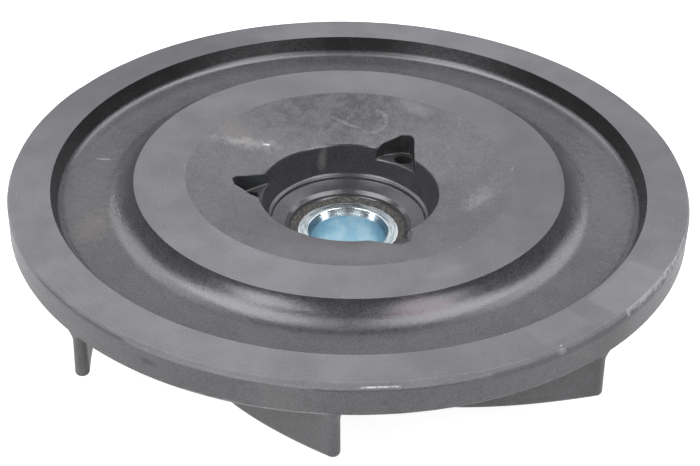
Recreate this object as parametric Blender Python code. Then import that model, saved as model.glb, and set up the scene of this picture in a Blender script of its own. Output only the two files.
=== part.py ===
"""Coolant pump impeller, lying with its vanes down as in the photograph.

A round back disc carries eight curved vanes underneath and a hub in its middle. A steel insert
in the hub takes the pump shaft. The origin is the middle of the hub's lower face, +Z points up
along the shaft axis, and all sizes are in metres.
"""

import math

import bmesh
import bpy

# Overall size
OUTER_RADIUS = 0.0750
TOTAL_HEIGHT = 0.0300
SEAT_GAP = 0.0003

# Back disc, seen from above. Depths are measured down from the machined back face.
RIM_CHAMFER = 0.0008
RIM_INNER_RADIUS = 0.06575
DISC_EDGE_DEPTH = 0.00725
DISC_EDGE_BEVEL = 0.0003
GROOVE_WALL_RADIUS = 0.0646
GROOVE_WALL_DEPTH = 0.0031
GROOVE_FLOOR_OUTER = 0.0624
GROOVE_FLOOR_INNER = 0.0545
GROOVE_DEPTH = 0.0045
PLATEAU_OUTER = 0.0477
PLATEAU_INNER = 0.0364

# Recess in the middle of the disc
RECESS_EDGE_RADIUS = 0.02015
RECESS_EDGE_DEPTH = 0.0047
RECESS_LIP = 0.0005
RECESS_FOOT_RADIUS = 0.0184
RECESS_FOOT_DEPTH = 0.0116

# Flow surface under the disc: nearly flat outside, then a quarter ellipse down to the hub nose
FLOW_FLAT_RADIUS = 0.0440
FLOW_FLAT_DEPTH = 0.0076
NOSE_RADIUS = 0.0155
NOSE_BEVEL = 0.0005

# Hub and steel insert
STEP_TOP_RADIUS = 0.0142
STEP_TOP_DEPTH = 0.0135
STEP_FOOT_RADIUS = 0.0135
STEP_FOOT_DEPTH = 0.0147
INSERT_RADIUS = 0.0115
INSERT_FACE_DEPTH = 0.0154
BORE_RADIUS = 0.0085
BORE_MOUTH_RADIUS = 0.0091
BORE_MOUTH_DEPTH = 0.0014
BORE_FOOT_DEPTH = 0.0006

# Three pockets cut outwards from the recess, each with a balance hole through the disc
POCKET_COUNT = 3
POCKET_FLOOR_DEPTH = 0.0074
POCKET_SIDE = 0.01495
POCKET_TIP_RADIUS = 0.0018
POCKET_TIP_REACH = 0.0203
POCKET_SLANT_DEG = 119.0
POCKET_SLANT_LENGTH = 0.0070
POCKET_INNER_REACH = 0.0120
BALANCE_HOLE_RADIUS = 0.00195
BALANCE_HOLE_X = 0.0128
BALANCE_HOLE_Y = 0.0179

# Vanes: a spiral whose angle to the radius grows inwards up to a limit
VANE_COUNT = 8
VANE_TIP_RADIUS = 0.0735
VANE_TIP_DEG = 267.34
VANE_TIP_SLOPE = 1.315
VANE_SLOPE_GROWTH = 0.94
VANE_SLOPE_LIMIT = 2.20
VANE_ROOT_RADIUS = 0.0250
VANE_NOSE_RADIUS = 0.0320
VANE_TIP_DEPTH = 0.0183
VANE_EDGE_RISE = 0.234
VANE_NOSE_HEIGHT = 0.0020
VANE_CORNER = 0.0015
VANE_EDGE_THICKNESS = 0.0019
VANE_ROOT_THICKNESS = 0.0026
VANE_FLARE_THICKNESS = 0.0040
VANE_FLARE_HEIGHT = 0.0012

TURN_STEPS = 72
HUB_STEPS = 48
ELLIPSE_STEPS = 8
ARC_STEPS = 5
VANE_STATIONS = 18
CORNER_STATIONS = 4


def clear_scene():
    for obj in list(bpy.data.objects):
        bpy.data.objects.remove(obj, do_unlink=True)


def material(name, colour, roughness, metallic):
    made = bpy.data.materials.new(name)
    made.use_nodes = True
    shader = made.node_tree.nodes["Principled BSDF"]
    shader.inputs["Base Color"].default_value = (*colour, 1.0)
    shader.inputs["Roughness"].default_value = roughness
    shader.inputs["Metallic"].default_value = metallic
    return made


def add_object(name, mesh, finish=None):
    obj = bpy.data.objects.new(name, mesh)
    bpy.context.scene.collection.objects.link(obj)
    if finish:
        mesh.materials.append(finish)
    return obj


def height(depth):
    """World height of a depth below the machined back face."""
    return TOTAL_HEIGHT - depth


def arc(centre, radius, start_deg, end_deg, steps):
    """Points along an arc, both ends included."""
    angles = [math.radians(start_deg + (end_deg - start_deg) * i / steps) for i in range(steps + 1)]
    return [(centre[0] + radius * math.cos(a), centre[1] + radius * math.sin(a)) for a in angles]


def turned(name, profile, steps, finish):
    """Turns a closed profile of (radius, depth) points about the shaft axis.

    The profile runs down its outer side and back up its inner side.
    """
    mesh = bpy.data.meshes.new(name)
    points = [(radius, 0.0, height(depth)) for radius, depth in profile]
    edges = [(i, (i + 1) % len(points)) for i in range(len(points))]
    mesh.from_pydata(points, edges, [])
    obj = add_object(name, mesh, finish)
    screw = obj.modifiers.new("Turn", "SCREW")
    screw.steps = steps
    screw.render_steps = steps
    screw.use_merge_vertices = True
    screw.merge_threshold = 0.00001
    screw.use_smooth_shade = True
    return obj


def cutter(name, outline, low, high):
    """A closed upright prism that a Boolean takes away."""
    build = bmesh.new()
    base = build.faces.new([build.verts.new((x, y, low)) for x, y in outline])
    top = bmesh.ops.extrude_face_region(build, geom=[base])
    lifted = [item for item in top["geom"] if isinstance(item, bmesh.types.BMVert)]
    bmesh.ops.translate(build, verts=lifted, vec=(0.0, 0.0, high - low))
    bmesh.ops.recalc_face_normals(build, faces=build.faces)
    mesh = bpy.data.meshes.new(name)
    build.to_mesh(mesh)
    build.free()
    obj = add_object(name, mesh)
    obj.hide_render = True
    obj.display_type = "WIRE"
    return obj


def cut(obj, tool):
    boolean = obj.modifiers.new("Cut " + tool.name, "BOOLEAN")
    boolean.operation = "DIFFERENCE"
    boolean.solver = "EXACT"
    boolean.object = tool


def turned_points(points, angle):
    """The same outline turned about the shaft axis."""
    c = math.cos(angle)
    s = math.sin(angle)
    return [(c * x - s * y, s * x + c * y) for x, y in points]


# Flow surface shared by the disc, the hub and the vanes

def flow_depth(radius):
    """Depth of the disc's lower surface at a radius."""
    if radius >= FLOW_FLAT_RADIUS:
        share = (radius - FLOW_FLAT_RADIUS) / (OUTER_RADIUS - FLOW_FLAT_RADIUS)
        return FLOW_FLAT_DEPTH + share * (DISC_EDGE_DEPTH - FLOW_FLAT_DEPTH)
    across = (FLOW_FLAT_RADIUS - radius) / (FLOW_FLAT_RADIUS - NOSE_RADIUS)
    return TOTAL_HEIGHT - (TOTAL_HEIGHT - FLOW_FLAT_DEPTH) * math.sqrt(max(0.0, 1.0 - across**2))


def flow_points(outer, inner, steps):
    """Profile points along the flow surface, from the outer radius to the inner one."""
    span = FLOW_FLAT_RADIUS - NOSE_RADIUS
    first = math.acos((FLOW_FLAT_RADIUS - outer) / span)
    last = math.acos((FLOW_FLAT_RADIUS - inner) / span)
    radii = [
        FLOW_FLAT_RADIUS - span * math.cos(first + (last - first) * i / steps)
        for i in range(steps + 1)
    ]
    return [(radius, flow_depth(radius)) for radius in radii]


# Back disc

def groove_points():
    """The back groove, from the plateau's sharp edge out to the rim's inner edge."""
    run = GROOVE_FLOOR_INNER - PLATEAU_OUTER
    radius = (run**2 + GROOVE_DEPTH**2) / (2 * GROOVE_DEPTH)
    centre = (GROOVE_FLOOR_INNER, GROOVE_DEPTH - radius)
    start = math.degrees(math.atan2(-centre[1], PLATEAU_OUTER - centre[0]))
    inner_wall = arc(centre, radius, start, 90.0, ARC_STEPS)
    corner = (GROOVE_WALL_RADIUS + GROOVE_FLOOR_OUTER) / 2 + 0.0004
    fillet = [
        (GROOVE_FLOOR_OUTER, GROOVE_DEPTH),
        (corner, GROOVE_DEPTH - 0.00025),
        (GROOVE_WALL_RADIUS, GROOVE_WALL_DEPTH),
    ]
    return inner_wall + fillet + [(RIM_INNER_RADIUS, 0.0)]


def pocket_outline():
    """Plan of one pocket: a straight side, a round tip and a slanted side back to the recess."""
    centre = (POCKET_SIDE - POCKET_TIP_RADIUS, POCKET_TIP_REACH)
    tip = arc(centre, POCKET_TIP_RADIUS, 0.0, POCKET_SLANT_DEG, ARC_STEPS)
    slant = math.radians(POCKET_SLANT_DEG + 90.0)
    end = (
        tip[-1][0] + POCKET_SLANT_LENGTH * math.cos(slant),
        tip[-1][1] + POCKET_SLANT_LENGTH * math.sin(slant),
    )
    return [(POCKET_SIDE, POCKET_INNER_REACH)] + tip + [end, (end[0], POCKET_INNER_REACH)]


def back_disc(finish):
    rim = [
        (OUTER_RADIUS - RIM_CHAMFER, 0.0),
        (OUTER_RADIUS, RIM_CHAMFER),
        (OUTER_RADIUS, DISC_EDGE_DEPTH - DISC_EDGE_BEVEL),
        (OUTER_RADIUS - DISC_EDGE_BEVEL, DISC_EDGE_DEPTH),
    ]
    underside = flow_points(FLOW_FLAT_RADIUS, RECESS_FOOT_RADIUS, ELLIPSE_STEPS)
    recess = [
        (RECESS_FOOT_RADIUS, RECESS_FOOT_DEPTH),
        (RECESS_EDGE_RADIUS, RECESS_EDGE_DEPTH + RECESS_LIP),
        (RECESS_EDGE_RADIUS + RECESS_LIP, RECESS_EDGE_DEPTH),
    ]
    plateau = [(PLATEAU_INNER, 0.0)]
    disc = turned("back_disc", rim + underside + recess + plateau + groove_points(), TURN_STEPS, finish)
    for i in range(POCKET_COUNT):
        angle = math.tau * i / POCKET_COUNT
        outline = turned_points(pocket_outline(), angle)
        low = height(POCKET_FLOOR_DEPTH)
        cut(disc, cutter(f"pocket_cutter_{i + 1}", outline, low, height(-0.005)))
        ring = arc((BALANCE_HOLE_X, BALANCE_HOLE_Y), BALANCE_HOLE_RADIUS, 0.0, 345.0, 23)
        hole = turned_points(ring, angle)
        cut(disc, cutter(f"balance_cutter_{i + 1}", hole, -0.005, low + 0.002))
    return disc


# Hub and insert

def hub(finish):
    outer = RECESS_FOOT_RADIUS - SEAT_GAP
    inner = INSERT_RADIUS + SEAT_GAP
    flank = flow_points(outer, NOSE_RADIUS + 0.00002, 4)[:-1]
    profile = (
        [(outer, RECESS_FOOT_DEPTH)]
        + flank
        + [
            (NOSE_RADIUS, TOTAL_HEIGHT - NOSE_BEVEL),
            (NOSE_RADIUS - NOSE_BEVEL, TOTAL_HEIGHT),
            (inner, TOTAL_HEIGHT),
            (inner, INSERT_FACE_DEPTH - SEAT_GAP),
            (STEP_FOOT_RADIUS, STEP_FOOT_DEPTH),
            (STEP_TOP_RADIUS, STEP_TOP_DEPTH),
        ]
    )
    return turned("hub", profile, HUB_STEPS, finish)


def shaft_insert(finish):
    profile = [
        (INSERT_RADIUS, INSERT_FACE_DEPTH),
        (INSERT_RADIUS, TOTAL_HEIGHT),
        (BORE_MOUTH_RADIUS, TOTAL_HEIGHT),
        (BORE_RADIUS, TOTAL_HEIGHT - BORE_FOOT_DEPTH),
        (BORE_RADIUS, INSERT_FACE_DEPTH + BORE_MOUTH_DEPTH),
        (BORE_MOUTH_RADIUS, INSERT_FACE_DEPTH),
    ]
    return turned("shaft_insert", profile, HUB_STEPS, finish)


# Vanes

def vane_angle(radius):
    """Angle of the vane's inner face at a radius, from the tip's own angle."""
    inward = math.log(VANE_TIP_RADIUS / radius)
    limit = (VANE_SLOPE_LIMIT - VANE_TIP_SLOPE) / (2 * VANE_SLOPE_GROWTH)
    bent = min(inward, limit)
    turned_by = VANE_TIP_SLOPE * bent + VANE_SLOPE_GROWTH * bent**2
    turned_by += VANE_SLOPE_LIMIT * (inward - bent)
    return math.radians(VANE_TIP_DEG) - turned_by


def vane_slope(radius):
    """Tangent of the angle between the vane and the radius."""
    inward = math.log(VANE_TIP_RADIUS / radius)
    return min(VANE_SLOPE_LIMIT, VANE_TIP_SLOPE + 2 * VANE_SLOPE_GROWTH * inward)


def vane_edge_depth(radius):
    """Depth of the vane's free edge, with its slanted nose and its rounded outer corner."""
    depth = VANE_TIP_DEPTH + VANE_EDGE_RISE * (VANE_TIP_RADIUS - radius)
    corner_start = VANE_TIP_RADIUS - VANE_CORNER
    if radius > corner_start:
        inside = max(0.0, VANE_CORNER**2 - (radius - corner_start) ** 2)
        depth -= VANE_CORNER - math.sqrt(inside)
    if radius < VANE_NOSE_RADIUS:
        back = (VANE_NOSE_RADIUS - radius) / (VANE_NOSE_RADIUS - VANE_ROOT_RADIUS)
        least = flow_depth(radius) + VANE_NOSE_HEIGHT
        depth = least + (depth - least) * math.sqrt(max(0.0, 1.0 - back**2))
    return depth


def vane_radii():
    """Stations from the root to the tip, closer together at the nose and at the outer corner."""
    span = VANE_TIP_RADIUS - VANE_CORNER - VANE_ROOT_RADIUS
    even = [VANE_ROOT_RADIUS + span * (i / VANE_STATIONS) ** 1.4 for i in range(VANE_STATIONS + 1)]
    corner = [
        VANE_TIP_RADIUS - VANE_CORNER * (1 - math.sin(math.pi / 2 * i / CORNER_STATIONS))
        for i in range(1, CORNER_STATIONS + 1)
    ]
    return even + corner


def vane_section(radius):
    """Corners of the vane where a cylinder of this radius cuts it, as (angle, depth)."""
    along = math.sqrt(1.0 + vane_slope(radius) ** 2) / radius
    top = flow_depth(radius) + SEAT_GAP
    edge = vane_edge_depth(radius)
    flare = min(top + VANE_FLARE_HEIGHT, (top + edge) / 2)
    middle = vane_angle(radius) + along * VANE_EDGE_THICKNESS / 2
    sides = [
        (VANE_EDGE_THICKNESS, edge),
        (VANE_ROOT_THICKNESS, flare),
        (VANE_FLARE_THICKNESS, top),
    ]
    lower = [(middle - along * thick / 2, depth) for thick, depth in sides]
    upper = [(middle + along * thick / 2, depth) for thick, depth in reversed(sides)]
    return lower + [(middle, top)] + upper


def vane_mesh():
    """One vane, as a skin over its sections, closed at its nose and at its tip."""
    build = bmesh.new()
    rings = []
    for radius in vane_radii():
        section = vane_section(radius)
        rings.append(
            [
                build.verts.new((radius * math.cos(a), radius * math.sin(a), height(depth)))
                for a, depth in section
            ]
        )
    count = len(rings[0])
    for inner, outer in zip(rings, rings[1:]):
        for i in range(count):
            j = (i + 1) % count
            build.faces.new((inner[i], inner[j], outer[j], outer[i]))
    build.faces.new(rings[0])
    build.faces.new(list(reversed(rings[-1])))
    bmesh.ops.recalc_face_normals(build, faces=build.faces)
    mesh = bpy.data.meshes.new("vane")
    build.to_mesh(mesh)
    build.free()
    mesh.shade_smooth()
    mesh.set_sharp_from_angle(angle=math.radians(35.0))
    return mesh


def vanes(finish):
    mesh = vane_mesh()
    mesh.materials.append(finish)
    for i in range(VANE_COUNT):
        vane = add_object(f"vane_{i + 1}", mesh)
        vane.rotation_euler = (0.0, 0.0, math.tau * i / VANE_COUNT)


def main():
    clear_scene()
    moulding = material("moulded plastic", (0.21, 0.21, 0.215), 0.55, 0.0)
    steel = material("zinc plated steel", (0.72, 0.74, 0.75), 0.30, 1.0)
    back_disc(moulding)
    hub(moulding)
    shaft_insert(steel)
    vanes(moulding)


main()
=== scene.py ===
# %% [markdown]
# # Coolant pump impeller
# The loose impeller of an engine coolant pump, seen from its back. A glass-filled plastic moulding
# carries eight curved vanes underneath, and a zinc-plated steel insert in its middle takes the
# shaft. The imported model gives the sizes; this script dresses it with the surface of the real one.

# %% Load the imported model
import math

import bmesh
import bpy
from mathutils import Matrix, Vector, geometry, noise


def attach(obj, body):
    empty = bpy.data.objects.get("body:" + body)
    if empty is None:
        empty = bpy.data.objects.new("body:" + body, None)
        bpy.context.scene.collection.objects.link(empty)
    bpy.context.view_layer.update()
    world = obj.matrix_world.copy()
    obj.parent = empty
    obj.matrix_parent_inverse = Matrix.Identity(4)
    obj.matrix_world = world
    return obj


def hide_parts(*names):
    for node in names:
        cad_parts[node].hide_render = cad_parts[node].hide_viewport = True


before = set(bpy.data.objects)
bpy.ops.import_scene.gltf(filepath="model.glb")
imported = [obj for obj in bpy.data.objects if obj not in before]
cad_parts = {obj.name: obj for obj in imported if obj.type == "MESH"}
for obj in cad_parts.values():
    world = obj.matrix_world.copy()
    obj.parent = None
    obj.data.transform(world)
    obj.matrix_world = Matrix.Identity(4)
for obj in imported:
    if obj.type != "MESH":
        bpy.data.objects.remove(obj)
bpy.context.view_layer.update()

print("packed model:", ", ".join(sorted(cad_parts)))

# %% [markdown]
# ## Sizes
# Lengths are in millimetres where they describe the part, because that is how a drawing gives
# them, and `MM` turns them into metres. Depths are measured down from the machined back face,
# which is the datum on the real part too. The flow surface, along which the coolant runs out
# under the disc, is a quarter ellipse from the nose to a nearly flat outer part.

# %% Sizes that several pieces share
MM = 0.001
OUTER = 75.0
HEIGHT = 30.0
STEPS = 120
FINE = 3
FLOW_RADIUS = 44.0
FLOW_DEPTH = 7.6
FLOW_FALL = 0.35
NOSE = 15.5


def spot(radius, depth, angle):
    """A point from its radius and depth in millimetres and its angle in radians."""
    across = radius * MM
    return Vector((across * math.cos(angle), across * math.sin(angle), (HEIGHT - depth) * MM))


def flow_depth(radius):
    """Depth of the flow surface under the disc, in millimetres."""
    outward = max(0.0, radius - FLOW_RADIUS) / (OUTER - FLOW_RADIUS)
    inward = max(0.0, FLOW_RADIUS - radius) / (FLOW_RADIUS - NOSE)
    curved = (HEIGHT - FLOW_DEPTH) * math.sqrt(1.0 - min(1.0, inward) ** 2)
    return HEIGHT - curved - FLOW_FALL * outward


def flow_run(first, last):
    """Corners along the curved part of the flow surface, 4.5 degrees of the ellipse apart."""
    run = []
    for k in range(first, last + 1):
        radius = FLOW_RADIUS - (FLOW_RADIUS - NOSE) * math.sin(math.radians(4.5 * k))
        run.append((radius, flow_depth(radius), 0))
    return run


print("outside diameter", 2 * OUTER, "mm, height", HEIGHT, "mm")

# %% [markdown]
# ## Rounded outlines
# A moulded part has no perfectly sharp edge: its tool was cut with a round cutter, and the plastic
# shrinks. So an outline here is a list of corners, each with its own rounding, and one helper
# swaps every corner for a small arc. The same helper serves the turned sections and the plans of
# the pockets.

# %% Corners with roundings
def rounded(corners, steps=5):
    """The outline with an arc at each corner. A corner is (x, y, rounding)."""
    path = []
    for i, (x, y, rounding) in enumerate(corners):
        here = Vector((x, y))
        back = Vector(corners[i - 1][:2]) - here
        ahead = Vector(corners[(i + 1) % len(corners)][:2]) - here
        half = back.angle(ahead) / 2
        if rounding == 0 or half > math.radians(89.0):
            path.append((x, y))
            continue
        reach = min(rounding / math.tan(half), 0.49 * back.length, 0.49 * ahead.length)
        middle = (back.normalized() + ahead.normalized()).normalized()
        centre = here + middle * (reach / math.cos(half))
        start = here + back.normalized() * reach - centre
        end = here + ahead.normalized() * reach - centre
        turn = start.angle_signed(end)
        for k in range(steps + 1):
            path.append(tuple(centre + Matrix.Rotation(-turn * k / steps, 2) @ start))
    return path


print("a rounded corner has", len(rounded([(0, 0, 0), (9, 0, 1), (9, 9, 0)])) - 2, "points")

# %% [markdown]
# ## Section of the moulding
# The moulding is turned about the shaft axis, so one closed section describes almost all of it.
# The inner half of the section has the flow surface down to the nose, the sleeve round the steel
# insert, the stepped floor of the recess, its steep wall and the start of the dished middle.

# %% Inner half of the section, from the flow surface up to the dish
DISH_EDGE = 36.4
RECESS_CORNER = (20.1, 4.75)
RECESS_FOOT = (18.35, 11.75)


def dish_depth(radius):
    """Depth of the dished middle, which falls evenly from the plateau to the recess."""
    return (DISH_EDGE - radius) * RECESS_CORNER[1] / (DISH_EDGE - RECESS_CORNER[0])


inner_corners = flow_run(8, 19) + [
    (NOSE, HEIGHT, 0.5),
    (11.9, HEIGHT, 0.3),
    (11.48, 29.5, 0),
    (11.48, 15.5, 0),
    (12.9, 15.2, 0.5),
    (13.3, 14.75, 0.2),
    (13.5, 14.25, 0.25),
    (14.3, 13.6, 0.2),
    (17.4, 12.75, 0.15),
    (17.52, 11.95, 0.25),
    (*RECESS_FOOT, 0.75),
    (*RECESS_CORNER, 1.15),
    *((radius, dish_depth(radius), 0) for radius in (23.0, 27.5, 31.0)),
]
inner_section = rounded(inner_corners)
print("inner half of the section:", len(inner_section), "points")

# %% [markdown]
# The outer half carries the machined plateau, the groove and the machined rim. On the real part
# the outside edge was trimmed by hand with a knife after machining: the facet is wide and pale
# at the front, narrow and dark at the left, and it has small steps where one stroke ended and
# the next began. So the outer half is worked out afresh at each angle.

# %% Trimmed edge and outer half of the section
PLATEAU_EDGE = 47.7
GROOVE_FOOT = 54.5
GROOVE_DEPTH = 4.5
GROOVE_CURVE = 7.388
RIM_EDGE = 65.75
DISC_EDGE = 7.25
STROKES = [
    (0, 0.45, 0.80),
    (96, 0.55, 0.95),
    (151, 0.40, 0.75),
    (188, 0.30, 0.60),
    (214, 0.42, 0.80),
    (236, 0.72, 1.15),
    (263, 0.85, 1.35),
    (288, 0.55, 1.10),
    (300, 0.70, 1.35),
    (333, 0.50, 0.95),
]


def trimming(degrees):
    """Width of the trimmed facet on the back face and its depth on the side, in millimetres."""
    wave = 0.06 * noise.noise(Vector((degrees * 0.25, 0.0, 3.7)))
    wave += 0.04 * noise.noise(Vector((degrees * 1.1, 5.0, 0.0)))
    width, depth = STROKES[-1][1:]
    for start, next_width, next_depth in STROKES:
        share = min(1.0, max(0.0, (degrees - start) / 1.6 + 0.5))
        width += (next_width - width) * share
        depth += (next_depth - depth) * share
    return width + wave, depth + 1.6 * wave


def groove_wall(steps):
    """The groove's inner wall, an arc that leaves the plateau steeply and ends flat."""
    top = math.asin((GROOVE_FOOT - PLATEAU_EDGE) / GROOVE_CURVE)
    run = []
    for k in range(1, steps + 1):
        angle = top * (1 - k / steps)
        lift = GROOVE_CURVE * (1 - math.cos(angle))
        run.append((GROOVE_FOOT - GROOVE_CURVE * math.sin(angle), GROOVE_DEPTH - lift, 0))
    return run


def outer_section(angle):
    """The outer half of the section at one angle, from the dish out and back underneath."""
    width, depth = trimming(math.degrees(angle) % 360)
    burr = 0.05 * noise.noise(Vector((math.cos(angle) * 30, math.sin(angle) * 30, 1.0)))
    corners = [
        (33.2, dish_depth(33.2), 0),
        (DISH_EDGE, 0.0, 1.5),
        (42.0, 0.0, 0),
        (PLATEAU_EDGE, 0.0, 0.15),
        *groove_wall(12),
        (58.5, GROOVE_DEPTH, 0),
        (64.08, GROOVE_DEPTH, 2.4),
        (RIM_EDGE, 0.0, 0.12),
        (70.0, 0.0, 0),
        (OUTER - width, 0.0, 0.12),
        (OUTER, depth, 0.25),
        (OUTER, 4.0, 0),
        (OUTER, DISC_EDGE + burr, 0.3),
        *((radius, flow_depth(radius), 0) for radius in (72.0, 62.0, 52.0, 44.0)),
    ]
    return rounded(corners + flow_run(1, 7))


print("outer half of the section:", len(outer_section(0.0)), "points")

# %% [markdown]
# ## Skin over the sections
# A Screw modifier could turn the section, but it gives every ring the same number of points, and
# it can't follow an edge that changes round the part. Here each ring is placed one by one, with
# three times as many points in the outer half as in the inner half, and a small fan of faces
# where the two meet. The last ring joins the first, so the skin is closed.

# %% Closed skin over rings of points
def bridge(build, first, second):
    """Faces between two rings. The counts are equal, or one is three times the other."""
    few, many = sorted((first, second), key=len)
    for i in range(len(few)):
        j = (i + 1) % len(few)
        if len(few) == len(many):
            build.faces.new((first[i], second[i], second[j], first[j]))
            continue
        a, b, c = (many[FINE * i + k] for k in range(3))
        d = many[(FINE * i + 3) % len(many)]
        fan = [(few[i], a, b), (few[i], b, c, few[j]), (few[j], c, d)]
        for corners in fan:
            build.faces.new(corners)


def in_scene(name, data):
    """A new object in the scene that shows the data."""
    made = bpy.data.objects.new(name, data)
    bpy.context.scene.collection.objects.link(made)
    return made


def as_object(name, build):
    """A new object in the scene, whose mesh is what was built."""
    mesh = bpy.data.meshes.new(name)
    build.to_mesh(mesh)
    build.free()
    return in_scene(name, mesh)


def skin(name, rings):
    """A mesh object with a closed skin over the rings, its faces pointing outwards."""
    build = bmesh.new()
    rows = [[build.verts.new(point) for point in ring] for ring in rings]
    for k, row in enumerate(rows):
        bridge(build, row, rows[(k + 1) % len(rows)])
    bmesh.ops.recalc_face_normals(build, faces=build.faces)
    return as_object(name, build)


def round_angles(count):
    """Angles all the way round, evenly spaced."""
    return [math.tau * i / count for i in range(count)]


def turned_rings(section, count):
    """A ring of points all the way round for each point of a section."""
    return [[spot(r, d, angle) for angle in round_angles(count)] for r, d in section]


outer_angles = round_angles(STEPS * FINE)
outer_sections = [outer_section(angle) for angle in outer_angles]
outer_rings = [
    [spot(*section[k], angle) for section, angle in zip(outer_sections, outer_angles)]
    for k in range(len(outer_sections[0]))
]
moulding = skin("moulded_body", outer_rings + turned_rings(inner_section, STEPS))
print("moulding before the pockets:", len(moulding.data.polygons), "faces")

# %% [markdown]
# ## Pockets and balance holes
# Three pockets open from the recess into the dish, a third of a turn apart. Each ends in a balance
# hole that lets coolant through to the hub. A cutter takes each away with a Boolean. The cutter
# carries the roundings of the real pocket: it narrows at the floor, which leaves a fillet there,
# and flares just below the dish, which leaves a soft lip.

# %% Plan of a pocket and the depth of its floor
POCKETS = 3
FLOOR = 7.55
FLOOR_SLOPE = 0.11
SIDE = 14.95
FILLET = 0.35
LIP = 0.35
LEDGE_START = 19.75
LEDGE = 0.30
LEDGE_BEND = math.radians(58.0)


def floor_depth(radius):
    """Depth of the pocket's floor, which rises a little to a rounded ledge at the recess."""
    past = LEDGE_START - radius
    bend = LEDGE * math.sin(LEDGE_BEND)
    if past <= 0:
        return FLOOR - FLOOR_SLOPE * past
    if past <= bend:
        return FLOOR + LEDGE - math.sqrt(LEDGE**2 - past**2)
    drop = LEDGE * (1 - math.cos(LEDGE_BEND))
    return FLOOR + drop + min(past - bend, 0.6) * math.tan(LEDGE_BEND)


def surface_depth(radius):
    """Depth of the dish with the rounding at the recess, where the lip of a pocket follows it."""
    outside = max(radius, 19.9)
    return dish_depth(outside) + max(0.0, 20.75 - outside) ** 2 / 1.1


def pocket_plan():
    """The pocket from above: a straight side, a round tip, a bowed side and a flared mouth."""
    corners = [
        (10.0, 11.0, 0.9),
        (15.6, 11.1, 0.9),
        (SIDE, 13.25, 0.75),
        (SIDE, 20.8, 1.2),
        (14.25, 21.95, 1.0),
        (12.1, 22.4, 0.9),
        (10.5, 21.5, 0.6),
        (8.1, 20.5, 1.5),
        (6.3, 18.6, 0.75),
        (4.6, 17.6, 0.9),
        (4.6, 15.0, 0.9),
    ]
    return spaced(rounded(corners, steps=9), 0.5)


def spaced(outline, gap):
    """The outline with extra points, so that none is further than the gap from the next."""
    path = []
    for i, here in enumerate(outline):
        start = Vector(here)
        along = Vector(outline[(i + 1) % len(outline)]) - start
        count = math.ceil(along.length / gap)
        path += [tuple(start + along * k / count) for k in range(count)]
    return path


plan = pocket_plan()
print("pocket plan:", len(plan), "points, tip at radius", round(max(math.hypot(*p) for p in plan), 2))

# %% [markdown]
# A cutter is a stack of outlines, each a little wider or narrower than the plan. Its lower face
# follows the floor, so it is filled with a Delaunay triangulation that has extra points along
# the ledge. Mesh code suits this better than a Bevel modifier, which would have to cross the
# thin faces of the turned skin.

# %% Cutters for the pockets and the balance holes
HOLE = (12.6, 18.75, 2.0)


def grown(outline, amount):
    """The outline moved outwards by an amount."""
    moved = []
    for i, here in enumerate(outline):
        before = Vector(outline[i - 1])
        after = Vector(outline[(i + 1) % len(outline)])
        along = (after - before).normalized()
        moved.append((here[0] + along.y * amount, here[1] - along.x * amount))
    return moved


def stack(build, layers, turn):
    """Adds a closed cutter to the build. A layer is a list of (x, y, depth) corners."""
    rows = []
    for layer in layers:
        row = []
        for x, y, depth in layer:
            row.append(build.verts.new(spot(math.hypot(x, y), depth, math.atan2(y, x) + turn)))
        rows.append(row)
    for lower, upper in zip(rows, rows[1:]):
        for i in range(len(lower)):
            j = (i + 1) % len(lower)
            build.faces.new((lower[i], lower[j], upper[j], upper[i]))
    build.faces.new(rows[-1])
    return rows[0]


def lifted(spread, rise):
    """The plan moved outwards, a little below the dish, or above it where the rise is negative."""
    shape = grown(plan, spread)
    return [(x, y, surface_depth(math.hypot(x, y)) + rise) for x, y in shape]


def pocket_layers():
    """Outlines of a pocket's cutter, from its floor up past its lip."""
    layers = []
    for k in range(6):
        bend = math.radians(18.0 * k)
        shape = grown(plan, FILLET * (math.sin(bend) - 1))
        rise = FILLET * (1 - math.cos(bend))
        layers.append([(x, y, floor_depth(math.hypot(x, y)) - rise) for x, y in shape])
    for k in range(5):
        bend = math.radians(16.0 * k)
        layers.append(lifted(LIP * (1 - math.cos(bend)), LIP * (1 - math.sin(bend))))
    layers.append(lifted(0.52, -0.12))
    layers.append([(x, y, -2.0) for x, y, depth in layers[-1]])
    return layers


def fill_floor(build, bottom, turn):
    """Closes the lower face of a pocket's cutter, with points along the ledge."""
    edge = [(v.co.x / MM, v.co.y / MM) for v in bottom]
    extra = []
    for radius in (19.75, 19.7, 19.62, 19.55, 19.496, 19.2):
        for k in range(60):
            angle = math.radians(36 + 40 * k / 60) + turn
            point = Vector((radius * math.cos(angle), radius * math.sin(angle)))
            if all((point - Vector(corner)).length > 0.35 for corner in edge):
                extra.append(tuple(point))
    loop = [(i, (i + 1) % len(edge)) for i in range(len(edge))]
    flat = [Vector(p) for p in edge + extra]
    filled = geometry.delaunay_2d_cdt(flat, loop, [], 1, 0.01)
    points = []
    for place, sources in zip(filled[0], filled[3]):
        known = [i for i in sources if i < len(edge)]
        if known:
            points.append(bottom[known[0]])
            continue
        radius = place.length
        points.append(build.verts.new(spot(radius, floor_depth(radius), math.atan2(place.y, place.x))))
    for corners in filled[2]:
        build.faces.new([points[i] for i in reversed(corners)])


def hole_layers():
    """Outlines of a balance hole's cutter, from below the disc up into the pocket."""
    x, y, size = HOLE
    ring = [(x + size * math.cos(a), y + size * math.sin(a)) for a in round_angles(32)]
    mouth = floor_depth(math.hypot(x, y))
    sizes = [(0.0, 22.0), (0.0, mouth + 0.35), (0.06, mouth + 0.1), (0.2, mouth - 0.15)]
    sizes += [(0.3, mouth - 0.4), (0.3, mouth - 0.9)]
    return [[(x, y, depth) for x, y in grown(ring, spread)] for spread, depth in sizes]


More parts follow.
